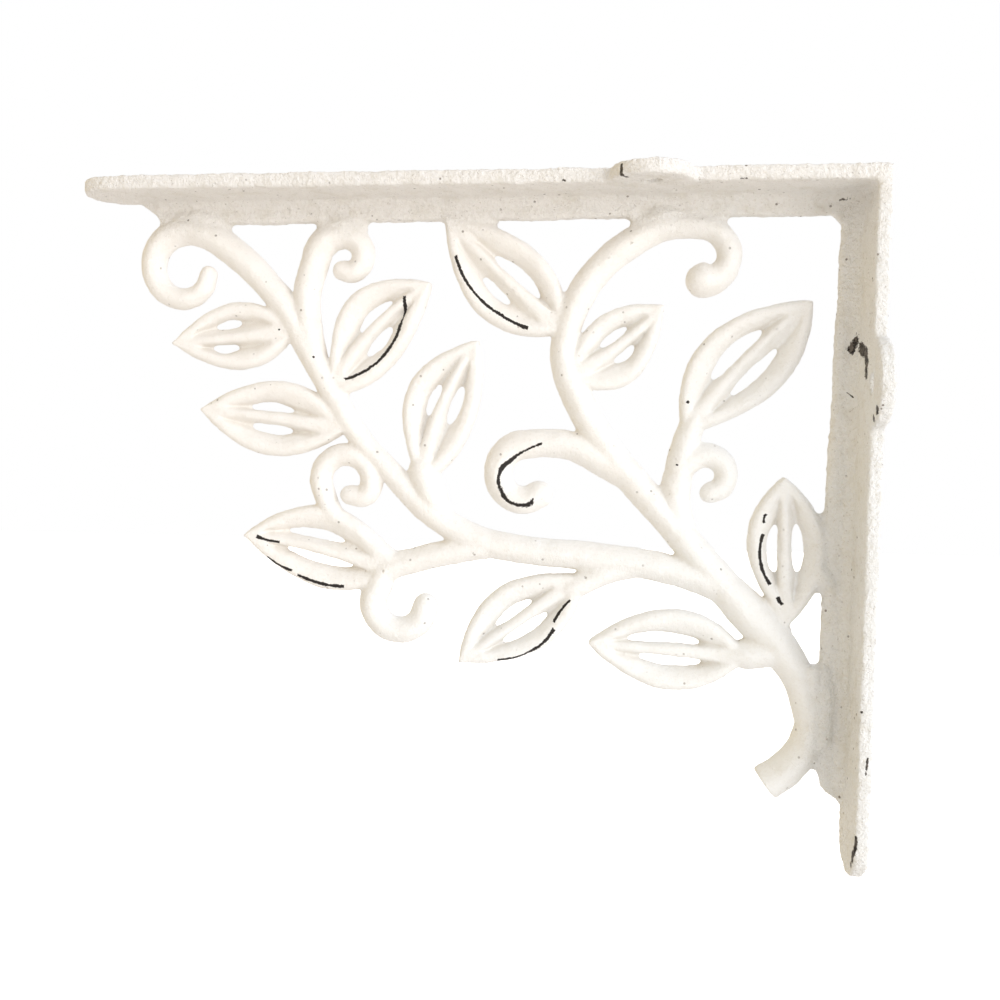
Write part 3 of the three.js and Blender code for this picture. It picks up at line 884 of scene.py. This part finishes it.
def distance_from_arc(tree, place, first, second, third, half):
    """Distance of a point on the front from an arc, in half widths of the mark."""
    centre, radius = circle_through(first, second, third)
    middle = Vector((second[0], 0, second[1]))
    reach = max(math.dist(second, first), math.dist(second, third))
    out = vector_node(tree, "LENGTH", a=vector_node(tree, "SUBTRACT", a=place, b=centre))
    beside = math_node(tree, "ABSOLUTE", math_node(tree, "SUBTRACT", out, radius))
    gone = vector_node(tree, "LENGTH", a=vector_node(tree, "SUBTRACT", a=place, b=middle))
    past = math_node(tree, "SUBTRACT", gone, reach)
    return math_node(tree, "DIVIDE", math_node(tree, "MAXIMUM", beside, past), half)


def distance_from_stretch(tree, place, start, end, half):
    """Distance of a point from a straight mark, in half widths of the mark."""
    run = Vector(end) - Vector(start)
    from_start = vector_node(tree, "SUBTRACT", a=place, b=start)
    along = vector_node(tree, "DOT_PRODUCT", a=from_start, b=run)
    share = math_node(tree, "MULTIPLY", along, 1 / run.length_squared, clamp=True)
    nearest = vector_node(tree, "SCALE", a=run, scale=share)
    away = vector_node(tree, "LENGTH", a=vector_node(tree, "SUBTRACT", a=from_start, b=nearest))
    return math_node(tree, "DIVIDE", away, half)


def worn_through(tree, place):
    """One where the black iron shows, with ragged edges."""
    front = vector_node(tree, "MULTIPLY", a=place, b=(1, 0, 1))
    depth = add(tree, "ShaderNodeSeparateXYZ", {0: place}).outputs["Y"]
    vine = None
    for mark in MARKS_ON_VINE:
        found = distance_from_arc(tree, front, *mark)
        vine = found if vine is None else math_node(tree, "MINIMUM", vine, found)
    before = math_node(tree, "LESS_THAN", depth, VINE_FRONT)
    behind = math_node(tree, "GREATER_THAN", depth, BACK_OF_VINE)
    off_the_vine = math_node(tree, "MULTIPLY", math_node(tree, "ADD", before, behind), FAR_FROM_MARKS)
    nearest = math_node(tree, "ADD", vine, off_the_vine)
    for mark in MARKS_ON_RAILS:
        nearest = math_node(tree, "MINIMUM", nearest, distance_from_stretch(tree, place, *mark))
    coarse, fine = FRAYING
    frayed = math_node(tree, "ADD", noise(tree, place, *coarse), noise(tree, place, *fine))
    ragged = math_node(tree, "MULTIPLY_ADD", frayed, MARK_RAGGEDNESS, 1 - MARK_RAGGEDNESS)
    return step_up(tree, math_node(tree, "DIVIDE", nearest, ragged), *MARK_EDGE)


def ivory_paint():
    """Satin ivory paint over rough sand-cast iron, with pits and worn marks, and tan in the hollows that is
    painted shade with a little dirt.
    """
    material = bpy.data.materials.new("distressed_ivory_paint")
    material.use_nodes = True
    tree = material.node_tree
    shader = tree.nodes["Principled BSDF"]
    objects = tree.nodes.new("ShaderNodeTexCoord").outputs["Object"]
    place = vector_node(tree, "SCALE", a=objects, scale=1 / MM)
    parts = add(tree, "ShaderNodeSeparateXYZ", {0: place}).outputs

    # The rails are rougher than the vine
    fades, whole = SHELF_RAIL_FINISH
    on_shelf_rail = step_up(tree, parts["Z"], TOP - fades, TOP - whole)
    fades, whole = WALL_RAIL_FINISH
    on_wall_rail = step_up(tree, parts["X"], -fades, -whole)
    on_rails = math_node(tree, "MAXIMUM", on_shelf_rail, on_wall_rail)

    # Colour: ivory, warmer towards the shelf's far end, then speckle, stains, soot, and tan in the hollows,
    # which is painted shade with a little dirt
    climb = math_node(tree, "SUBTRACT", parts["Z"], parts["X"])
    cloud = math_node(tree, "MULTIPLY", noise(tree, place, *CLOUDS), CLOUD_SHARE)
    patches = math_node(tree, "MULTIPLY_ADD", climb, WARMTH_PER_MM, cloud)
    paint = blend(tree, step_up(tree, patches, *WARMING), COOL_IVORY, WARM_IVORY)
    for colour, layer_noise, starts_and_full, on_vine, more_on_rails in LAYERS:
        layer = step_up(tree, noise(tree, place, *layer_noise), *starts_and_full)
        paint = blend(tree, by_place(tree, layer, on_rails, on_vine, more_on_rails), paint, colour)
    # Painted shade, with a little dirt: tan wherever the ambient occlusion finds a hollow
    hollow_shade_and_dirt = add(tree, "ShaderNodeAmbientOcclusion", {"Distance": HOLLOW_REACH * MM}, samples=6)
    hollow_shade_and_dirt = step_up(tree, hollow_shade_and_dirt.outputs["AO"], *HOLLOWS)
    paint = blend(tree, math_node(tree, "MULTIPLY", hollow_shade_and_dirt, HOLLOW_SHADE_AND_DIRT_SHARE), paint, SHADE_AND_DIRT_TAN)

    # Pits: small dark dots where a coarse noise allows them
    cells = add(
        tree, "ShaderNodeTexVoronoi", {"Vector": place, "Scale": PIT_SCALE, "Randomness": 1}, feature="F1"
    ).outputs["Distance"]
    allowed = step_up(tree, noise(tree, place, *PITTED_PATCHES), *PITTED)
    pit = math_node(tree, "MULTIPLY", step_up(tree, cells, *PIT_SIZE), allowed)
    pit = by_place(tree, pit, on_rails, *PIT_SHARES)
    paint = blend(tree, pit, paint, PIT)

    # Worn marks: black iron, with dust on it where it is on the rails
    dust = math_node(tree, "MULTIPLY", step_up(tree, noise(tree, place, *DUST), *DUSTY), on_rails)
    iron = blend(tree, math_node(tree, "MULTIPLY", dust, DUST_SHARE), BLACK_IRON, DUSTY_IRON)
    worn = worn_through(tree, place)
    tree.links.new(blend(tree, worn, paint, iron), shader.inputs["Base Color"])

    # Relief: the grain of the sand, finer grit in the paint, and the pits
    relief = by_place(tree, noise(tree, place, *SAND), on_rails, *SAND_HEIGHTS)
    grit = math_node(tree, "MULTIPLY", noise(tree, place, *GRIT), GRIT_HEIGHT)
    relief = math_node(tree, "ADD", relief, grit)
    relief = math_node(tree, "SUBTRACT", relief, math_node(tree, "MULTIPLY", pit, PIT_DEPTH))
    bump = add(tree, "ShaderNodeBump", {"Height": relief, "Strength": RELIEF, "Distance": MM})
    tree.links.new(bump.outputs["Normal"], shader.inputs["Normal"])
    shader.inputs["Specular IOR Level"].default_value = SPECULAR
    dullness = math_node(tree, "MULTIPLY_ADD", noise(tree, place, *DULLER_PATCHES), DULLER_BY, SATIN)
    tree.links.new(dullness, shader.inputs["Roughness"])
    return material


casting.data.materials.clear()
casting.data.materials.append(ivory_paint())


def pale_floor():
    bpy.ops.mesh.primitive_plane_add(size=FLOOR_SIZE, location=(0, 0, FLOOR_HEIGHT))
    floor = bpy.context.object
    floor.name = "floor"
    paper = bpy.data.materials.new("pale_floor")
    paper.use_nodes = True
    surface = paper.node_tree.nodes["Principled BSDF"]
    surface.inputs["Base Color"].default_value = FLOOR_PAPER
    surface.inputs["Roughness"].default_value = 1
    surface.inputs["Emission Color"].default_value = WHITE
    seen = paper.node_tree.nodes.new("ShaderNodeLightPath").outputs["Is Camera Ray"]
    paper.node_tree.links.new(seen, surface.inputs["Emission Strength"])
    floor.data.materials.append(paper)


def window():
    """A large soft light to the right in front, turned towards the middle of the bracket."""
    lamp = bpy.data.lights.new("window", "AREA")
    lamp.size = WINDOW_SIZE
    lamp.energy = WINDOW_POWER
    holder = bpy.data.objects.new("window", lamp)
    bpy.context.collection.objects.link(holder)
    holder.location = WINDOW_PLACE
    to_bracket = Vector(MIDDLE_OF_BRACKET) - Vector(WINDOW_PLACE)
    holder.rotation_euler = to_bracket.to_track_quat("-Z", "Y").to_euler()


def studio():
    """White all round, but darker and warmer from the left, and plain white to the camera."""
    world = bpy.data.worlds.new("white_studio")
    bpy.context.scene.world = world
    world.use_nodes = True
    tree = world.node_tree
    direction = tree.nodes.new("ShaderNodeTexCoord").outputs["Generated"]
    across = add(tree, "ShaderNodeSeparateXYZ", {0: direction}).outputs["X"]
    walls = blend(tree, step_up(tree, across, *WARM_SIDE), WARM_WALL, COOL_WALL)
    seen = tree.nodes.new("ShaderNodeLightPath").outputs["Is Camera Ray"]
    background = tree.nodes["Background"]
    tree.links.new(blend(tree, seen, walls, WHITE), background.inputs["Color"])
    background.inputs["Strength"].default_value = 1
    bpy.context.scene.view_settings.view_transform = "Standard"


def photograph_camera():
    lens = bpy.data.cameras.new("camera")
    lens.sensor_width = SENSOR
    lens.lens = LENS
    lens.clip_start = CLIP_START * MM
    camera = bpy.data.objects.new("camera", lens)
    bpy.context.collection.objects.link(camera)
    turn = Matrix((CAMERA_RIGHT, CAMERA_UP, -Vector(CAMERA_AHEAD))).transposed().to_4x4()
    camera.matrix_world = Matrix.Translation(Vector(CAMERA_PLACE) * MM) @ turn
    bpy.context.scene.camera = camera


pale_floor()
studio()
window()
photograph_camera()
